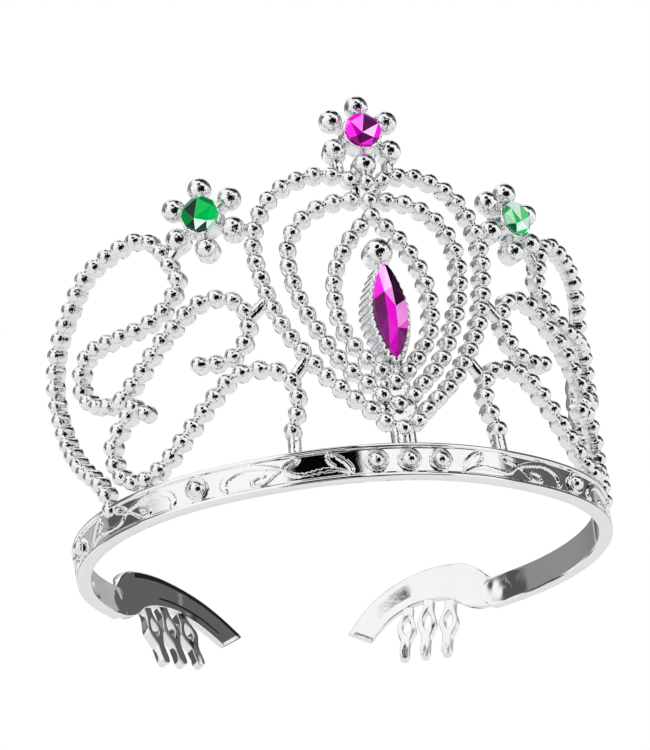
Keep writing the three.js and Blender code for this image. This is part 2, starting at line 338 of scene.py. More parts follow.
def hull(name, pts):
    """Convex body of the points in mm, with flat facets."""
    bm = bmesh.new()
    for p in pts:
        bm.verts.new(Vector(p * MM))
    out = bmesh.ops.convex_hull(bm, input=bm.verts)
    loose = [e for e in out["geom_interior"] + out["geom_unused"]
             if isinstance(e, bmesh.types.BMVert)]
    bmesh.ops.delete(bm, geom=loose, context="VERTS")
    bmesh.ops.dissolve_limit(bm, angle_limit=math.radians(1.0), verts=bm.verts, edges=bm.edges)
    bmesh.ops.recalc_face_normals(bm, faces=bm.faces)
    me = bpy.data.meshes.new("cut_" + name)
    bm.to_mesh(me)
    bm.free()
    ob = bpy.data.objects.new("cut_" + name, me)
    bpy.context.scene.collection.objects.link(ob)
    return ob


# ---- materials ----
def nodes_of(name):
    """New material, its node tree, its shader, and the object's coordinates in mm."""
    mat = bpy.data.materials.new(name)
    mat.use_nodes = True
    nt = mat.node_tree
    bsdf = nt.nodes["Principled BSDF"]
    coord = nt.nodes.new("ShaderNodeTexCoord")
    scale = nt.nodes.new("ShaderNodeVectorMath")
    scale.operation = "SCALE"
    scale.inputs["Scale"].default_value = 1 / MM
    nt.links.new(coord.outputs["Object"], scale.inputs[0])
    return mat, nt, bsdf, scale.outputs[0]


def noise(nt, vector, scale, detail, roughness=0.5):
    n = nt.nodes.new("ShaderNodeTexNoise")
    n.inputs["Scale"].default_value = scale
    n.inputs["Detail"].default_value = detail
    n.inputs["Roughness"].default_value = roughness
    nt.links.new(vector, n.inputs["Vector"])
    return n.outputs["Fac"]


def ramp(nt, fac, stops):
    """Colour ramp from stops of (position, colour), where a colour may be one grey."""
    r = nt.nodes.new("ShaderNodeValToRGB")
    el = r.color_ramp.elements
    while len(el) < len(stops):
        el.new(0.5)
    for e, (pos, col) in zip(el, stops):
        e.position = pos
        e.color = (*(col if isinstance(col, tuple) else (col,) * 3), 1)
    nt.links.new(fac, r.inputs["Fac"])
    return r.outputs["Color"]


def bump(nt, bsdf, layers):
    """Chained bumps of (height, strength, depth in mm)."""
    last = None
    for height, strength, depth in layers:
        b = nt.nodes.new("ShaderNodeBump")
        b.inputs["Strength"].default_value = strength
        b.inputs["Distance"].default_value = depth * MM
        nt.links.new(height, b.inputs["Height"])
        if last is not None:
            nt.links.new(last, b.inputs["Normal"])
        last = b.outputs["Normal"]
    nt.links.new(last, bsdf.inputs["Normal"])


def chrome(name, tint, rough, ripples):
    """Vacuum-metallised plastic: bright, a little wavy, with faint haze and thin spots.

    rough holds its lowest, middle and highest roughness; ripples are (scale, strength, depth).
    """
    mat, nt, bsdf, mm = nodes_of(name)
    bsdf.inputs["Metallic"].default_value = 1.0
    haze = noise(nt, mm, 0.16, 4)
    dull = tuple(c * 0.96 for c in tint)
    nt.links.new(ramp(nt, haze, [(0.3, dull), (0.62, tint)]), bsdf.inputs["Base Color"])
    smears = noise(nt, mm, 1.7, 5, 0.6)
    nt.links.new(ramp(nt, smears, list(zip((0.35, 0.6, 0.78), rough))), bsdf.inputs["Roughness"])
    bump(nt, bsdf, [(noise(nt, mm, scale, 2), strength, depth)
                    for scale, strength, depth in ripples])
    return mat


def gem(name, stops):
    """Foil-backed acrylic: coloured plastic whose facets mirror the foil behind them; that light
    and shade is painted into each facet's colour.

    The mesh's tone attribute picks each facet's painted brightness from the stops.
    """
    mat, nt, bsdf, mm = nodes_of(name)
    tone = nt.nodes.new("ShaderNodeAttribute")
    tone.attribute_name = "tone"
    colour = ramp(nt, tone.outputs["Fac"], stops)
    nt.links.new(colour, bsdf.inputs["Base Color"])
    # painted glow: the facet colour, painted light and shade included, also glows faintly though
    # the stone is no lamp
    nt.links.new(colour, bsdf.inputs["Emission Color"])
    bsdf.inputs["Emission Strength"].default_value = 0.2
    bsdf.inputs["Metallic"].default_value = 0.4
    bsdf.inputs["Specular IOR Level"].default_value = 0.3
    bsdf.inputs["Coat Weight"].default_value = 0.15
    bsdf.inputs["Coat Roughness"].default_value = 0.02
    nt.links.new(ramp(nt, noise(nt, mm, 1.1, 3), [(0.3, 0.06), (0.8, 0.15)]),
                 bsdf.inputs["Roughness"])
    bump(nt, bsdf, [(noise(nt, mm, 1.4, 2), 0.15, 0.1)])
    return mat


SILVER = (0.965, 0.97, 0.98)
CHROME_BEADS = chrome("metallised_beads", SILVER, (0.01, 0.03, 0.08),
                      [(0.6, 0.9, 0.22), (1.4, 0.7, 0.11), (5.0, 0.4, 0.02)])
CHROME_FLAT = chrome("metallised_flat", SILVER, (0.02, 0.04, 0.08),
                     [(0.5, 0.12, 0.1), (5.0, 0.1, 0.03)])
CHROME_COMB = chrome("metallised_comb", (0.965, 0.955, 0.945), (0.03, 0.06, 0.1),
                     [(0.3, 0.2, 0.12), (4.0, 0.15, 0.03)])
# Stops per stone: near black for painted shade, the stone's own colour in the middle, and a pale
# top stop for a painted highlight.
MAGENTA = gem("stone_magenta", [(0.0, (0.018, 0.0, 0.02)), (0.3, (0.16, 0.0, 0.13)),
                                (0.6, (0.52, 0.0, 0.42)), (0.85, (1.0, 0.01, 0.8)),
                                (1.0, (1.0, 0.5, 0.93))])
GREEN = gem("stone_green", [(0.0, (0.0, 0.012, 0.004)), (0.35, (0.0, 0.07, 0.03)),
                            (0.65, (0.0, 0.3, 0.05)), (0.88, (0.0, 0.66, 0.12)),
                            (1.0, (0.75, 0.95, 0.85))])


def finish_piece(ob, mat, slot, *nodes):
    """Gives a piece its material, hangs it under the root body, and hides the CAD nodes that it
    stands for.
    """
    ob.data.materials.clear()
    ob.data.materials.append(mat)
    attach(ob, "root")
    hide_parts(*nodes)


def silver(ob, *nodes, mat=CHROME_BEADS):
    finish_piece(ob, mat, "silver_moulding", *nodes)


# ---- headband: rounded rims with moulded scrollwork on the field between them ----
# Strokes of the two scrolls that meet at each joint: (distance from the joint, v, half-width).
LEAF_SIDE = [
    [(0, 4.2, 0.3), (3.5, 5.2, 0.6), (7.6, 5.8, 0.7), (10.4, 5.4, 0.75), (12.8, 4.0, 0.8),
     (13.2, 2.4, 0.7), (12.6, 1.6, 0.3)],
    [(0.2, 4.1, 0.25), (1.2, 3.7, 0.25), (2.7, 2.7, 0.3), (4.0, 1.8, 0.35), (5.6, 1.5, 0.4),
     (6.8, 1.9, 0.4), (6.8, 2.7, 0.4), (5.6, 3.2, 0.3), (4.1, 3.4, 0.25)]]
HOOK_SIDE = [
    [(14.1, 1.4, 0.25), (12.1, 2.3, 0.35), (9.8, 2.7, 0.5), (7.1, 2.5, 0.5), (4.4, 2.2, 0.45),
     (2.0, 2.7, 0.45), (0.5, 3.9, 0.35), (-0.4, 4.1, 0.3)],
    [(14.4, 1.4, 0.25), (14.4, 2.4, 0.5), (13.5, 3.9, 0.55), (11.8, 5.4, 0.45), (10.1, 6.2, 0.3),
     (9.6, 5.6, 0.3), (10.0, 4.3, 0.35), (10.9, 3.4, 0.3)],
    [(-0.4, 4.0, 0.3), (0.4, 5.2, 0.32), (1.7, 5.9, 0.32), (3.2, 6.2, 0.4), (3.6, 5.7, 0.3),
     (3.1, 5.1, 0.3), (2.0, 4.8, 0.35), (1.0, 4.5, 0.4)]]
# Joints, and on which side of each the hooked scroll lies: -1 toward the middle, 1 away from it.
JOINTS = [(27.1, -1), (65.5, 1), (104.4, -1)]
STUD_U = {"stud_front_left": -7.1, "stud_front_middle": 0.0, "stud_front_right": 7.1,
          "stud_side_left": -46.3, "stud_side_right": 46.3,
          "stud_rear_left": -87.5, "stud_rear_right": 87.5}


RELIEF = RIM - 0.02  # height of the scrollwork: just below the rims
SLOPE_OUT, SLOPE_W = 0.06, 0.26  # its edges start this far outside a stroke, and are this wide


def relief(u, v):
    """Height of the scrollwork above the field: flat crowns with sloping edges."""
    inside = np.full(u.shape, -9.0)  # distance inside the nearest stroke's edge
    for joint, hook_way in JOINTS:
        for strokes, way in ((HOOK_SIDE, hook_way), (LEAF_SIDE, -hook_way)):
            for stroke in strokes:
                for x, y, w in smooth_path(stroke, 10):
                    away = (np.abs(u) - joint) * way - x
                    inside = np.maximum(inside, w - np.hypot(away, v - y))
    t = np.clip((inside + SLOPE_OUT) / SLOPE_W, 0, 1)
    return RELIEF * t * t * (3 - 2 * t)


END_R = 3.0  # rounding of the band's ends
RIM_W = 1.25  # width of each rim with its slope down to the field
SHUT_AT, SHUT_W = BAND_END - END_R - 3.0, 1.2  # where the field closes near each end
BAND_COLUMNS = 1500
# Shallow dents and swellings of the inner face where the combs branch off: (u, v, size, depth).
DENTS = [(126.5, 2.6, 1.7, 0.16), (129.3, 5.2, 1.2, -0.1), (123.5, 5.6, 2.2, 0.1)]


def make_band():
    """Swept section, with the field set back between its rims and rounded ends."""
    field_v = np.linspace(RIM_W, BAND_H - RIM_W, 34)
    arc = np.linspace(0, math.pi / 2, 5)
    front_low = [(-0.32 + 0.32 * math.sin(a), 0.32 - 0.32 * math.cos(a)) for a in arc]
    rim_low = [(0.0, 0.72), (-0.06, 0.86), (-0.2, 0.98), (-0.38, 1.08)]
    rim_high = [(n, BAND_H - v) for n, v in reversed(rim_low)]
    front_high = [(n, BAND_H - v) for n, v in reversed(front_low)]
    back_high = [(-THICK + 0.3, BAND_H), (-THICK + 0.08, BAND_H - 0.09), (-THICK, BAND_H - 0.32)]
    back = [(-THICK, v) for v in np.linspace(BAND_H - 0.8, 0.8, 15)]
    back_low = [(n, BAND_H - v) for n, v in reversed(back_high)]
    section = front_low + rim_low + [(None, v) for v in field_v]
    section += rim_high + front_high + back_high + back + back_low
    v = np.array([p[1] for p in section])
    # the last ring stops just short of the tip, where the section would close to a line
    curl = BAND_END - END_R + END_R * np.sin(np.linspace(0, 1.53, 26))
    straight = np.linspace(-BAND_END + END_R, BAND_END - END_R, BAND_COLUMNS)
    us = np.concatenate([-curl[::-1], straight[1:-1], curl])
    uu, vv = np.meshgrid(us, v, indexing="ij")
    nn = np.broadcast_to(
        np.array([-RIM if p[0] is None else p[0] for p in section]), uu.shape).copy()
    is_field = np.array([p[0] is None for p in section])
    nn[:, is_field] += relief(uu[:, is_field], vv[:, is_field])
    # the field closes and the outline rounds over at both ends
    past = np.clip((np.abs(uu) - (BAND_END - END_R)) / END_R, 0, 1)
    shut = np.clip((np.abs(uu) - SHUT_AT) / SHUT_W, 0, 1)
    front = nn > -0.9  # everything from the field to the outer face
    for at_u, at_v, size, depth in DENTS:
        dent = np.exp(-(np.hypot(np.abs(uu) - at_u, vv - at_v) / size) ** 2)
        nn = np.where(nn < -THICK + 0.01, nn + depth * dent, nn)
    nn = np.where(front, nn * (1 - shut), nn)
    vv = BAND_H / 2 + (vv - BAND_H / 2) * np.sqrt(1 - past ** 3)
    verts = wrap(uu, vv, nn).reshape(-1, 3)
    return new_object("band", verts, loft_faces(len(us), len(section)), CREASE)


silver(make_band(), "headband", mat=CHROME_FLAT)

# Studs: a low collar round a bright dome.
STUD = [(0, -0.6), (2.6, -0.6), (2.6, 0.15), (2.5, 0.3), (2.3, 0.36), (2.12, 0.28), (2.0, 0.05),
        (1.95, -0.2), (1.85, -0.22)] + [
    (1.8 * math.cos(a), -0.1 + 1.75 * math.sin(a)) for a in np.linspace(0, math.pi / 2, 10)]
for node, u in STUD_U.items():
    silver(merged("dome_" + node, [lathe(u, BAND_H / 2, STUD, 36)]), node)

# ---- openwork wires, left side; the right side is its mirror image ----
RAIL = [
    [-71.6, 7.0], [-73, 11.6], [-76.2, 15.4], [-81.7, 20.2], [-85.6, 24.6], [-88.6, 29.2],
    [-91, 34.5], [-92.3, 39.6], [-92, 43.8], [-90.4, 47.3], [-87.8, 50.6], [-84.3, 53.5],
    [-80, 56.2], [-76.2, 58.8],
]
CREST = [
    [-73.4, 61.1], [-70.3, 63.2], [-65.4, 64.9], [-60, 65.9], [-55.6, 66.6], [-51.8, 65.6],
    [-49, 62.5], [-47.2, 58.8], [-45.6, 54.6],
]
HOOK = [
    [-45.8, 52.2], [-47.4, 49.9], [-50.2, 47.2], [-53.8, 45.5], [-58, 45], [-62.6, 45],
    [-67.4, 45.2], [-72.4, 44.8], [-75.9, 42.2], [-77, 38], [-74, 33.4], [-68.6, 30.6],
    [-64, 29.9], [-60.6, 27.8], [-57.2, 25.0],
]
MIDDLE_VINE = [
    [-63.2, 30.4], [-60.6, 32.1], [-58.4, 33.6], [-55.4, 36.4], [-52.8, 38.7], [-50, 41.1],
    [-46.7, 43.4], [-43.4, 45.9], [-39.8, 47.3], [-35.8, 47.1], [-32.3, 45.1], [-30.6, 41],
    [-31.1, 37.2], [-32.8, 34.2], [-35.6, 32.3], [-39.0, 31.9], [-42.6, 32.4],
]
INNER_VINE = [
    [-24, 12.9], [-23.6, 14.4], [-22.4, 17.5], [-21.9, 21.6], [-23.2, 25.3], [-26.1, 27.8],
    [-30, 28.6], [-34.4, 28.2], [-37.8, 26.2], [-40.6, 23.7], [-43.8, 20.7], [-46.8, 17.7],
    [-50.1, 14.8], [-53.4, 12.1], [-57.8, 10.2], [-62.1, 10.2], [-66, 12.4], [-68.3, 16.3],
    [-68.2, 20.4], [-65.4, 23.6], [-62.2, 25.9],
]
OUTER_LOOP = [
    [0, 72.0], [-2.4, 72.2], [-5.8, 73.4], [-10.2, 74.2], [-14.4, 73.7], [-18.6, 72.3],
    [-22.2, 69.8], [-25, 66.2], [-26.8, 62], [-27.5, 57.8], [-27.2, 53.6], [-26.5, 49.7],
    [-25.6, 45.5], [-24.4, 41.2], [-22.8, 37.2], [-20.7, 33.2], [-18.3, 29.5], [-16, 25.9],
    [-13.2, 22.5], [-9.9, 19.2], [-6.4, 16.1], [-3.6, 13.2], [0, 11.4],
]
MIDDLE_LOOP = [
    [0, 67.2], [-3, 67.3], [-7, 67.2], [-11.2, 66.1], [-14.9, 64.1], [-17.8, 61.2],
    [-19.6, 57.6], [-20.2, 53.4], [-19.9, 49.2], [-19.1, 45.3], [-18, 41.5], [-16.3, 37.4],
    [-14.5, 33.5], [-12.3, 29.2], [-9.3, 25.2], [-6, 21.9], [-3.5, 19.3], [0, 17.2],
]
INNER_LOOP = [
    [0, 63.4], [-3, 60.5], [-5.7, 57.5], [-7.9, 54.1], [-9.8, 50.2], [-10.8, 46.2],
    [-11, 42.1], [-10.7, 38.2], [-9.6, 34.2], [-7.6, 30.6], [-5.2, 27.5], [-2.3, 24.4],
    [0, 22.6],
]


def mirrored(points, side):
    return [[-side * u, v] for u, v in points]


def whole_row(node, side, points):
    path = Path(mirrored(points, side))
    silver(bead_row("beads_" + node, path, spread(path)), node)


def split_run(side, parts, names):
    """One run of beads shared out between its nodes, cut at the necks nearest the joints."""
    path = Path(mirrored([p for part in parts for p in part], side))
    centres = spread(path)
    cuts, row = [0], path.at(centres)
    for part in parts[1:]:
        start = np.array(mirrored(part[:1], side)[0])
        cuts.append(int(np.argmin(np.linalg.norm(row - start, axis=1))))
    cuts.append(len(centres))
    for k, name in enumerate(names):
        part = centres[cuts[k]:cuts[k + 1]]
        silver(bead_row("beads_" + name, path, part, round_lo=k == 0,
                        round_hi=k == len(names) - 1), name)


def loop_half(name, side, points, owns_top):
    """Half of a closed loop of beads; one side owns the top bead, the other the bottom one."""
    path = Path(mirrored(points, side))
    centres = spread(path)
    own = centres[:-1] if owns_top else centres[1:]
    silver(bead_row("beads_" + name, path, own), name)


POST_FOOT = BAND_H - 0.4  # the posts reach a little into the band
BAR_SHARP = 60
SIDES = (("left_", 1), ("right_", -1))
for label, side in SIDES:
    split_run(side, [RAIL, CREST, HOOK],
              [label + "outer_rail", label + "outer_crest", label + "outer_hook"])
    whole_row(label + "middle_vine", side, MIDDLE_VINE)
    whole_row(label + "inner_vine", side, INNER_VINE)
    loop_half(label + "outer_loop", side, OUTER_LOOP, side > 0)
    loop_half(label + "middle_loop", side, MIDDLE_LOOP, side > 0)
    loop_half(label + "inner_loop", side, INNER_LOOP, side > 0)
    for piece, node, bar in (
        ("stem_" + label + "post", "post",
         strut((-side * 24.2, POST_FOOT), (-side * 23.9, 12.4), 1.35, -1.2, 1.0)),
        ("tie_" + label + "upper", "upper_link",
         strut((-side * 30.2, 41.4), (-side * 26.2, 44.6), 1.25, -1.4, 0.8)),
        ("tie_" + label + "lower", "lower_link",
         strut((-side * 22.6, 25.2), (-side * 19.2, 29.2), 1.2, -1.4, 0.8)),
    ):
        silver(merged(piece, [bar], BAR_SHARP), label + node)
# Where the loops nest at the bottom and top, solid webs fill the space behind the beads.
WEBS = [strut((0, 11.6), (0, 17.4), 4.4, -2.2, 0.9),
        strut((0, 17.6), (0, 22.6), 3.4, -2.0, 0.9),
        strut((0, 67.6), (0, 71.8), 3.6, -2.0, 0.9)]
POSTS = [strut((u, POST_FOOT), (u, 12.0), 1.3, -1.2, 0.9) for u in (-1.3, 1.3)]
silver(merged("stem_centre", POSTS + WEBS, BAR_SHARP), "centre_post")


# ---- flower settings ----
def make_flower(name, u, v, stems):
    """Cup with six petals on short stalks, a small knob on each stalk, and stems to the wires."""
    cup = [(0, -THICK), (CUP_R - 0.2, -THICK), (CUP_R, -THICK + 0.2), (CUP_R, 0.6),
           (CUP_R + 0.12, 1.0), (CUP_R + 0.1, 1.45), (CUP_R - 0.1, 1.68), (CUP_R - 0.45, 1.7),
           (CUP_R - 0.6, 1.4), (0, 1.35)]
    petals, stalks, knobs = [], [], []
    for k in range(6):
        a = math.pi / 2 + k * math.pi / 3
        du, dv = math.cos(a), math.sin(a)
        if dv > 0.2:  # the upper petals are whole balls, the lower ones domed pins
            shape = arc_points(PETAL_R, PETAL_R - THICK, -math.pi / 2, math.pi / 2, 18)
        else:
            shape = ball_profile(PETAL_R, -0.7)
        petals.append(lathe(u + PETAL_AT * du, v + PETAL_AT * dv, shape, 32))
        stalks.append(strut((u + 3 * du, v + 3 * dv), (u + 6.2 * du, v + 6.2 * dv), 1.0, -1.3))
        knobs.append(lathe(u + 4.9 * du, v + 4.9 * dv, ball_profile(0.92, -0.35, 6), 18))
    body = merged("setting_" + name, [lathe(u, v, cup, 48)])
    links = [strut(p, q, 1.1, -1.1) for p, q in stems]
    fuse(body, [merged("stalks", stalks), merged("petals", petals), merged("knobs", knobs),
                merged("links", links)])
    silver(body, name)


def axes_at(u, v):
    """The spot itself and the straight directions right and up from it."""
    mid = local(u, v, 0.0, 0.0, 0.0)
    return mid, local(u, v, 1.0, 0.0, 0.0) - mid, local(u, v, 0.0, 1.0, 0.0) - mid


def paint_facet_light(ob, painted_facet_lights):
    """Painted light and shade: a fixed brightness painted on each facet, in place of the light
    that the foil behind it sends back.
    """
    layer = ob.data.attributes.new("tone", "FLOAT", "FACE")
    layer.data.foreach_set("value", np.array(painted_facet_lights, np.float32))


STONE_SIDES, CROWN_SIDES = 10, 5
PEAK = (-0.9, -1.9, 4.1)  # where the five crown facets meet, off the stone's middle


def make_stone(name, u, v, mat, slot, crown, skirt):
    """Flat-backed stone: ten girdle sides, kite facets above them and five at the crown.

    crown and skirt hold the painted light and shade of the facets in order of angle, round the
    peak and round the stone's middle.
    """
    def ring(r, n, count, shift=0.0):
        a = 2 * math.pi * (np.arange(count) + shift) / count
        return local(u, v, r * np.cos(a), r * np.sin(a), n)
    peak = local(u, v, *PEAK)
    ob = hull(name, np.concatenate([
        ring(3.7, 1.5, STONE_SIDES), ring(STONE_R, 2.2, STONE_SIDES),
        ring(STONE_R, 2.5, STONE_SIDES), ring(3.3, 3.5, CROWN_SIDES, 0.2), [peak]]))
    mid, right, up = axes_at(u, v)
    painted_facet_lights, crowns = [], []
    for face in ob.data.polygons:
        corners = [np.array(ob.data.vertices[k].co) / MM for k in face.vertices]
        origin = peak if min(np.linalg.norm(c - peak) for c in corners) < 0.01 else mid
        at = np.array(face.center) / MM - origin
        turn = math.atan2(float(at @ up), float(at @ right)) / (2 * math.pi) % 1.0
        if origin is peak:
            crowns.append((turn, face.index))
        painted_facet_lights.append(skirt[int(turn * STONE_SIDES)])
    for (turn, k), tone in zip(sorted(crowns), crown):
        painted_facet_lights[k] = tone
    paint_facet_light(ob, painted_facet_lights)
    finish_piece(ob, mat, slot, name)


TOP_AT, LEFT_AT, RIGHT_AT = (0, 83.7), (-37.6, 67), (37.6, 67)
make_flower("flower_top", *TOP_AT, [((-6.2, 78.4), (-5.8, 74.4)), ((6.2, 78.4), (5.8, 74.4)),
                                    ((0, 75.2), (0, 72.6))])
make_flower("flower_left", *LEFT_AT, [((-31.4, 63.4), (-27.0, 62.6)),
                                      ((-43.9, 63.0), (-47.0, 59.4))])
make_flower("flower_right", *RIGHT_AT, [((31.4, 63.4), (27.0, 62.6)),
                                        ((43.9, 63.0), (47.0, 59.4))])
# Each stone's painted light and shade: its five crown facets, then its ten facets round the
# middle.
make_stone("stone_top", *TOP_AT, MAGENTA, "stone_magenta", [1.0, 0.12, 0.9, 0.62, 0.2],
           [0.72, 0.35, 0.8, 0.85, 0.9, 0.8, 0.35, 0.82, 0.2, 0.85])
make_stone("stone_left", *LEFT_AT, GREEN, "stone_green", [0.82, 0.72, 0.03, 0.45, 0.1],
           [0.72, 0.6, 0.97, 0.45, 0.8, 0.66, 0.12, 0.2, 1.0, 0.88])
make_stone("stone_right", *RIGHT_AT, GREEN, "stone_green", [1.0, 0.9, 0.99, 0.7, 0.97],
           [0.9, 0.99, 0.8, 1.0, 0.6, 0.95, 0.45, 0.8, 1.0, 0.88])

# ---- navette stone in its ribbed collet, with a ball above it ----
NAVETTE_V, NAVETTE_L, NAVETTE_W = 38.1, 11.2, 3.7  # middle's height, half-length, half-width
RIBS, RIB_R, RIB_SIDES = 28, 0.94, 20
RIB_TOP = 0.75  # where a rib's side turns into its rounded top
CUP_SIDES, NAVETTE_SIDES = 96, 24


def boat(length, width, count):
    """Pointed oval outline for a half-length and a half-width."""
    a = 2 * math.pi * np.arange(count) / count
    s, c = np.sin(a), np.cos(a)
    return np.stack([width * c * np.sqrt(1 - 0.35 * s * s), length * s * (0.8 + 0.2 * s * s)], -1)


def make_collet():
    """A cup that widens to the back, with a ring of small ribs down its side."""
    front = boat(NAVETTE_L, NAVETTE_W + 0.1, 360)
    foot = boat(NAVETTE_L + 0.4, NAVETTE_W + 1.2, 360)
    front, foot = (np.vstack([ring, ring[:1]]) for ring in (front, foot))
    steps = np.linalg.norm(np.diff((front + foot) / 2, axis=0), axis=1)
    dist = np.concatenate([[0], np.cumsum(steps)])
    spots = [[np.array([np.interp(d, dist, ring[:, k]) for k in (0, 1)]) for ring in (front, foot)]
             for d in np.arange(RIBS) * dist[-1] / RIBS]
    cup = []
    for n, longer, wider in ((-THICK, 0.6, 1.5), (1.35, 0.25, 0.5), (1.5, 0.15, 0.4),
                             (1.6, 0.0, 0.2)):
        x, y = boat(NAVETTE_L + longer, NAVETTE_W + wider, CUP_SIDES).T
        cup.append(local(0, NAVETTE_V, x, y, n))
    body = new_object(
        "setting_collet", np.concatenate(cup), loft_faces(len(cup), CUP_SIDES), CREASE)
    for start in (0, 1):  # neighbouring ribs touch, so they are joined in two turns
        fuse(body, [merged("ribs", [rib(top, base) for top, base in spots[start::2]])])
    fuse(body, [merged("foot", [strut((0, 23.6), (0, 27.0), 1.0, -1.0)])])
    silver(body, "collet")


def rib(top, base):
    """A round rib on the navette's own straight axes, leaning from its top out to its base."""
    bevel = 0.15
    profile = [(0, -THICK), (RIB_R - bevel, -THICK), (RIB_R, -THICK + bevel), (RIB_R, -1.0),
               (RIB_R, RIB_TOP)] + arc_points(RIB_R, RIB_TOP, 0.2, math.pi / 2, 7)
    a = 2 * math.pi * np.arange(RIB_SIDES) / RIB_SIDES
    verts = []
    for k, (r, n) in enumerate(profile):
        t = min(max((RIB_TOP - n) / (RIB_TOP + THICK), 0.0), 1.0)
        x, y = top * (1 - t) + base * t
        if k in (0, len(profile) - 1):
            verts.append(local(0, NAVETTE_V, x, y, n))
        else:
            verts.extend(local(0, NAVETTE_V, x + r * np.cos(a), y + r * np.sin(a), n))
    return np.array(verts), spindle_faces(len(profile) - 2, RIB_SIDES)


def make_navette():
    """Long flat-backed stone: one ridge from tip to tip and broad facets down to the girdle."""
    pts = []
    for longer, wider, n in ((-0.4, -0.3, 1.5), (0.0, 0.0, 2.35), (0.0, 0.0, 2.6)):
        x, y = boat(NAVETTE_L + longer, NAVETTE_W + wider, NAVETTE_SIDES).T
        pts.append(local(0, NAVETTE_V, x, y, n))
    ridge = [(0.0, 10.2, 3.1), (0.3, 4.5, 4.5), (0.35, -0.5, 4.9), (0.3, -5.5, 4.5),
             (0.0, -10.2, 3.1)]
    shoulder = [(-1.45, 3.5, 4.1), (-1.5, -2.5, 4.15)]
    pts.append(local(0, NAVETTE_V, *np.array(ridge + shoulder).T))
    ob = hull("stone_navette", np.concatenate(pts))
    # each facet's painted light and shade goes by where it lies: across, and along from the middle
    mid, right, up = axes_at(0, NAVETTE_V)
    painted_facet_lights = []
    for face in ob.data.polygons:
        at = np.array(face.center) / MM - mid
        x, y = float(at @ right), float(at @ up)
        if x < -1.75:
            tone = 0.8 if y > 3.5 else 0.22 if y > -3.5 else 0.3
        elif x < 0.1:
            tone = 0.99 if y > 1.0 else 0.78 if y > -4.0 else 0.6
        else:
            tone = 0.04 if y > 1.5 else 0.9 if y > -4.5 else 0.25
        painted_facet_lights.append(tone + 0.06 * math.sin(7.0 * x + 3.0 * y))
    paint_facet_light(ob, np.clip(painted_facet_lights, 0, 1))
    finish_piece(ob, MAGENTA, "stone_magenta", "stone_navette")


make_collet()
make_navette()
silver(merged("ball_bead", [lathe(0, 53.7, ball_profile(3.25, -0.6, 14), 48)]), "ball")

# ---- combs: (u, v) of the plate's two long edges, and of each tooth's root and tip ----
COMB_BACK, COMB_FRONT, COMB_ROOT_FRONT = -2.5, 0.2, -0.8
COMB_TOP = [[127.6, 7.4], [130.2, 8.0], [132.4, 9.8], [134.6, 12.0], [138, 14], [142.5, 14.9],
            [148.5, 14.6], [154.5, 12.6], [160, 9.3], [164.8, 4.8], [169.2, -0.5]]
COMB_LOW = [[127.6, 0.4], [132.2, 0.5], [137.4, 2], [141, 4.4], [144.5, 5.6], [149, 5.8],
            [153.4, 4.7], [157.5, 2.6], [161.2, -0.6], [163.8, -3.3]]
TEETH = [[142.2, 4.6, 144.9, -10.2], [147.8, 5.8, 150.6, -10.0], [153.2, 4.6, 156, -9.8]]


def smooth_step(x, lo, hi):
    t = min(max((x - lo) / (hi - lo), 0.0), 1.0)
    return t * t * (3 - 2 * t)


def make_comb_plate(name, side):
    """Arched plate whose inner face slopes off at the top edge and steps in near the low one."""
    top, low = Path(COMB_TOP), Path(COMB_LOW)
    count, rings = 120, []
    # across runs from 0 at the low edge to 1 at the top edge, t from the root to the free end
    across = np.unique(np.concatenate([
        [0, 0.01, 0.035, 0.243, 0.26, 0.275, 0.29, 0.31, 0.33, 0.337, 0.965, 0.99, 1],
        np.linspace(0.06, 0.94, 34)]))
    corner = np.interp(across, [0, 0.01, 0.035, 0.965, 0.99, 1], [0.3, 0.1, 0, 0, 0.1, 0.3])
    slope = 0.45 * np.clip((across - 0.8) / 0.2, 0, 1)
    step_in = np.interp(across, [0.243, 0.31, 0.8], [0, 0.17, 0], left=0, right=0)
    for t in np.linspace(0, 1, count):
        a, b = top.at(t * top.length), low.at(t * low.length)
        spots = b + (a - b) * across[:, None]
        sloped = smooth_step(t, 0.2, 0.32)
        stepped = smooth_step(t, 0.44, 0.56) * (1 - smooth_step(t, 0.86, 0.95))
        tip = 0.25 * max(0.0, (t - 0.985) / 0.015)
        inner = COMB_BACK + corner + sloped * slope + stepped * step_in + tip
        front = COMB_ROOT_FRONT + (COMB_FRONT - COMB_ROOT_FRONT) * smooth_step(t, 0.1, 0.18)
        outer = front - corner - tip
        u = -side * np.concatenate([spots[:, 0], spots[::-1, 0]])
        v = np.concatenate([spots[:, 1], spots[::-1, 1]])
        rings.append(wrap(u, v, np.concatenate([inner, outer[::-1]])))
    ob = new_object("plate_" + name, np.concatenate(rings), loft_faces(count, len(rings[0])), 30)
    silver(ob, name, mat=CHROME_COMB)


# Half-widths along a tooth, by the share of its length: straight root, wide eye, slim stem.
TOOTH = [(0, 1.3), (0.12, 1.25), (0.2, 1.45), (0.3, 2.0), (0.39, 2.35), (0.47, 2.2),
         (0.56, 1.7), (0.65, 1.2), (0.73, 1.1), (0.93, 1.1), (0.975, 0.85), (1, 0.4)]
SLOT = [(0.2, 0.0), (0.24, 0.5), (0.32, 0.95), (0.4, 1.05), (0.47, 0.75), (0.54, 0.0)]
TOOTH_DEPTH, TOOTH_BEVEL = 2.4, 0.2


def spline(cu, pts):
    """Adds a closed outline to a curve."""
    sp = cu.splines.new("POLY")
    sp.points.add(len(pts) - 1)
    for p, (x, y) in zip(sp.points, pts):
        p.co = (x, y, 0, 1)
    sp.use_cyclic_u = True


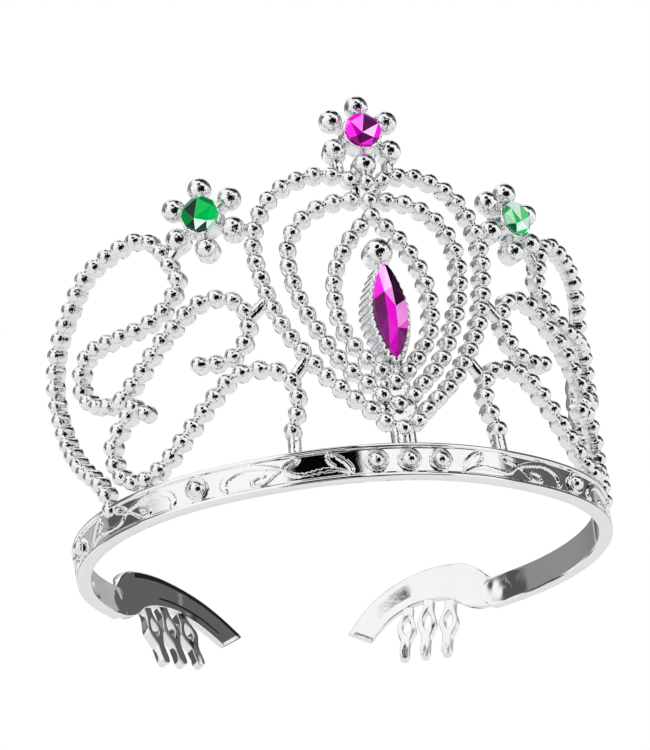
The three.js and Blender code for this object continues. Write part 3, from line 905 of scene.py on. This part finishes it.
def make_tooth(name, side, u0, v0, u1, v1):
    """Flat outline with a slot and rounded edges, moved to its place between root and tip."""
    length = math.hypot(u1 - u0, v1 - v0)
    fine = smooth_path([(t * length, w) for t, w in TOOTH], 5)
    hole = smooth_path([(t * length, w) for t, w in SLOT], 4)
    cu = bpy.data.curves.new(name, "CURVE")
    cu.dimensions, cu.fill_mode = "2D", "BOTH"
    cu.extrude, cu.bevel_depth = TOOTH_DEPTH / 2 - TOOTH_BEVEL, TOOTH_BEVEL
    cu.bevel_resolution, cu.offset = 3, -TOOTH_BEVEL
    spline(cu, [(x, w) for x, w in fine] + [(x, -w) for x, w in fine[::-1]])
    spline(cu, [(x, w) for x, w in hole] + [(x, -w) for x, w in hole[-2:0:-1]])
    ob = bpy.data.objects.new("outline_" + name, cu)
    bpy.context.scene.collection.objects.link(ob)
    dg = bpy.context.evaluated_depsgraph_get()
    me = bpy.data.meshes.new_from_object(ob.evaluated_get(dg))
    co = np.zeros(len(me.vertices) * 3)
    me.vertices.foreach_get("co", co)
    x, y, z = co.reshape(-1, 3).T
    faces = [tuple(p.vertices) for p in me.polygons]
    bpy.data.objects.remove(ob)
    bpy.data.meshes.remove(me)
    du, dv = (u1 - u0) / length, (v1 - v0) / length
    mu, mv = (u0 + u1) / 2, (v0 + v1) / 2
    verts = local(-side * mu, mv, -side * (u0 - mu + du * x - dv * y),
                  v0 - mv + dv * x + du * y, COMB_BACK + 0.1 + TOOTH_DEPTH / 2 + z)
    silver(new_object("tooth_" + name, verts, faces, 50), name, mat=CHROME_COMB)


for label, side in SIDES:
    make_comb_plate(label + "comb_plate", side)
    for k, root_tip in enumerate(TEETH):
        make_tooth(f"{label}comb_tooth_{k + 1}", side, *root_tip)

# ---- camera, fitted to the photograph ----
YAW, TILT, ROLL = 0.2928, -0.3971, -0.1191  # radians
SHIFT_X, SHIFT_Z, AWAY = 7.4108, -39.05, 579.2  # mm, in the camera's own axes
LENS, SENSOR = 123.7104, 36  # mm; the sensor is as high as the picture
view = (Matrix.Rotation(ROLL, 3, "Y") @ Matrix.Rotation(TILT, 3, "X")
        @ Matrix.Rotation(YAW, 3, "Z"))
back = view.transposed()
cam_data = bpy.data.cameras.new("camera")
cam_data.sensor_fit = "VERTICAL"
cam_data.sensor_height = cam_data.sensor_width = SENSOR
cam_data.lens = LENS
cam_data.clip_start, cam_data.clip_end = 0.01, 20
cam = bpy.data.objects.new("camera", cam_data)
cam.location = back @ Vector((-SHIFT_X, -AWAY, -SHIFT_Z)) * MM
right, forward, up = (back @ Vector(a) for a in ((1, 0, 0), (0, 1, 0), (0, 0, 1)))
cam.rotation_mode = "QUATERNION"
cam.rotation_quaternion = Matrix((right, up, -forward)).transposed().to_quaternion()
bpy.context.scene.collection.objects.link(cam)
bpy.context.scene.camera = cam
bpy.context.scene.view_settings.view_transform = "Standard"

# ---- floor, room and lights ----
FLOOR_Z = -0.32  # metres
FLOOR_HALF = 15000  # mm
floor = new_object("floor", [(x * FLOOR_HALF, y * FLOOR_HALF, 0)
                             for x, y in ((-1, -1), (1, -1), (1, 1), (-1, 1))], [(0, 1, 2, 3)])
floor.location = (0, 0, FLOOR_Z)
mat, nt, bsdf, mm = nodes_of("paper")
nt.links.new(ramp(nt, noise(nt, mm, 0.02, 4), [(0.3, 0.80), (0.7, 0.84)]),
             bsdf.inputs["Base Color"])
bsdf.inputs["Roughness"].default_value = 0.8
bsdf.inputs["Emission Color"].default_value = (0.9, 0.9, 0.9, 1)
bsdf.inputs["Emission Strength"].default_value = 0.08
floor.data.materials.append(mat)
floor.visible_glossy = False

# Dark shapes round the tent, in degrees seen from the tiara: (azimuth, elevation, half-width,
# half-height, soft edge, darkness, whether its edges wander). Azimuth 0 is straight in front.
SHAPES = [
    (-17, 28, 12, 12, 3, 0.998, False),  # a head above the camera
    (14, -10, 23, 23, 4, 0.995, True),  # someone standing to its right
    (11, -52, 8, 18, 4, 0.98, True),
    (-21, -24, 11, 26, 3, 0.98, False),  # whoever holds the camera
    (92, 32, 26, 16, 4, 0.88, False),  # open side of the tent, right
    (49, 43, 14, 8, 3, 0.88, False),
    (73, 66, 43, 18, 4, 0.88, False),
    (65, 80, 52, 24, 3, 0.985, False),  # its unlit roof
    (92, 70, 32, 29, 2, 0.985, False),
    (0, 90, 200, 14, 4, 0.985, False),
    (134, 26, 20, 14, 6, 0.5, False),  # seams and openings behind
    (168, 20, 10, 12, 4, 0.85, False),
    (-97, 33, 6, 4, 12, 0.91, False),  # open side of the tent, left
    (-138, 34, 38, 14, 6, 0.72, False),
    (-113, 12, 13, 12, 4, 0.9, True),
]
WHITE, GROUND_DROP = 0.96, 0.18
GROUND_EDGE = (-16, 6)  # all ground below the first elevation, none above the second
FAR_SIDE, FAR_EDGE, FAR_DROP = (0.27, 0.88, 0.39), (0.72, 0.93), 0.15
WANDER_AZ, WANDER_EL = 30, 24  # degrees from one extreme to the other


def room():
    """White tent with a grey ground, which lights the tiara and shows in its reflections.

    The camera itself sees plain white behind the tiara.
    """
    world = bpy.data.worlds.new("room")
    bpy.context.scene.world = world
    world.use_nodes = True
    nt = world.node_tree
    nt.nodes.clear()

    def math_node(op, *args):
        n = nt.nodes.new("ShaderNodeMath")
        n.operation = op
        for k, a in enumerate(args):
            if isinstance(a, (int, float)):
                n.inputs[k].default_value = a
            else:
                nt.links.new(a, n.inputs[k])
        return n.outputs[0]

    def fall(value, full, none):
        """1 up to the first value, falling to 0 at the second."""
        n = nt.nodes.new("ShaderNodeMapRange")
        n.interpolation_type = "SMOOTHSTEP"
        n.inputs["From Min"].default_value, n.inputs["From Max"].default_value = full, none
        n.inputs["To Min"].default_value, n.inputs["To Max"].default_value = 1.0, 0.0
        nt.links.new(value, n.inputs["Value"])
        return n.outputs["Result"]

    coord = nt.nodes.new("ShaderNodeTexCoord")
    sep = nt.nodes.new("ShaderNodeSeparateXYZ")
    nt.links.new(coord.outputs["Generated"], sep.inputs[0])
    x, y, z = sep.outputs
    azimuth = math_node("MULTIPLY", math_node("ARCTAN2", x, math_node("MULTIPLY", y, -1.0)),
                        180 / math.pi)
    height = math_node("MULTIPLY", math_node("ARCSINE", z), 180 / math.pi)
    wander = nt.nodes.new("ShaderNodeTexNoise")
    wander.inputs["Scale"].default_value = 3.5
    wander.inputs["Detail"].default_value = 3
    nt.links.new(coord.outputs["Generated"], wander.inputs["Vector"])
    tint = nt.nodes.new("ShaderNodeSeparateColor")
    nt.links.new(wander.outputs["Color"], tint.inputs[0])
    shift_az = math_node("MULTIPLY", math_node("SUBTRACT", tint.outputs[0], 0.5), WANDER_AZ)
    shift_el = math_node("MULTIPLY", math_node("SUBTRACT", tint.outputs[1], 0.5), WANDER_EL)
    azimuth_w, height_w = math_node("ADD", azimuth, shift_az), math_node("ADD", height, shift_el)

    ground = fall(height_w, *GROUND_EDGE)
    level = math_node("SUBTRACT", WHITE, math_node("MULTIPLY", ground, GROUND_DROP))
    dark = 0.0
    for az, el, half_az, half_el, soft, strength, loose in SHAPES:
        a, h = (azimuth_w, height_w) if loose else (azimuth, height)
        m = math_node(
            "MULTIPLY",
            fall(math_node("ABSOLUTE", math_node("SUBTRACT", a, az)), half_az, half_az + soft),
            fall(math_node("ABSOLUTE", math_node("SUBTRACT", h, el)), half_el, half_el + soft))
        dark = math_node("MAXIMUM", dark, math_node("MULTIPLY", m, strength))
    level = math_node("MULTIPLY", level, math_node("SUBTRACT", 1.0, dark))
    # the far side of the room, behind the tiara and above it, is a little greyer
    dot = math_node("ADD", math_node("MULTIPLY", z, FAR_SIDE[2]), math_node(
        "ADD", math_node("MULTIPLY", x, FAR_SIDE[0]), math_node("MULTIPLY", y, FAR_SIDE[1])))
    behind = math_node("SUBTRACT", 1.0, fall(dot, *FAR_EDGE))
    level = math_node("MULTIPLY", level,
                      math_node("SUBTRACT", 1.0, math_node("MULTIPLY", behind, FAR_DROP)))

    seen = nt.nodes.new("ShaderNodeBackground")
    lit = nt.nodes.new("ShaderNodeBackground")
    seen.inputs["Color"].default_value = (1, 1, 1, 1)
    nt.links.new(level, lit.inputs["Color"])
    path = nt.nodes.new("ShaderNodeLightPath")
    mix = nt.nodes.new("ShaderNodeMixShader")
    nt.links.new(path.outputs["Is Camera Ray"], mix.inputs["Fac"])
    nt.links.new(lit.outputs[0], mix.inputs[1])
    nt.links.new(seen.outputs[0], mix.inputs[2])
    out = nt.nodes.new("ShaderNodeOutputWorld")
    nt.links.new(mix.outputs[0], out.inputs["Surface"])


room()

SOFTBOX = 0.7  # metres


def softbox(name, spot, power):
    """Square light aimed at the middle of the tiara, unseen in its reflections."""
    data = bpy.data.lights.new(name, "AREA")
    data.shape, data.size, data.size_y = "RECTANGLE", SOFTBOX, SOFTBOX
    data.energy = power
    ob = bpy.data.objects.new(name, data)
    ob.location = spot
    ob.rotation_mode = "QUATERNION"
    ob.rotation_quaternion = (Vector((0, 0, 0.04)) - Vector(spot)).to_track_quat("-Z", "Y")
    ob.visible_glossy = False
    bpy.context.scene.collection.objects.link(ob)


softbox("key", (-0.9, -0.9, 0.9), 9.0)
softbox("fill", (0.9, -0.7, 0.5), 6.0)
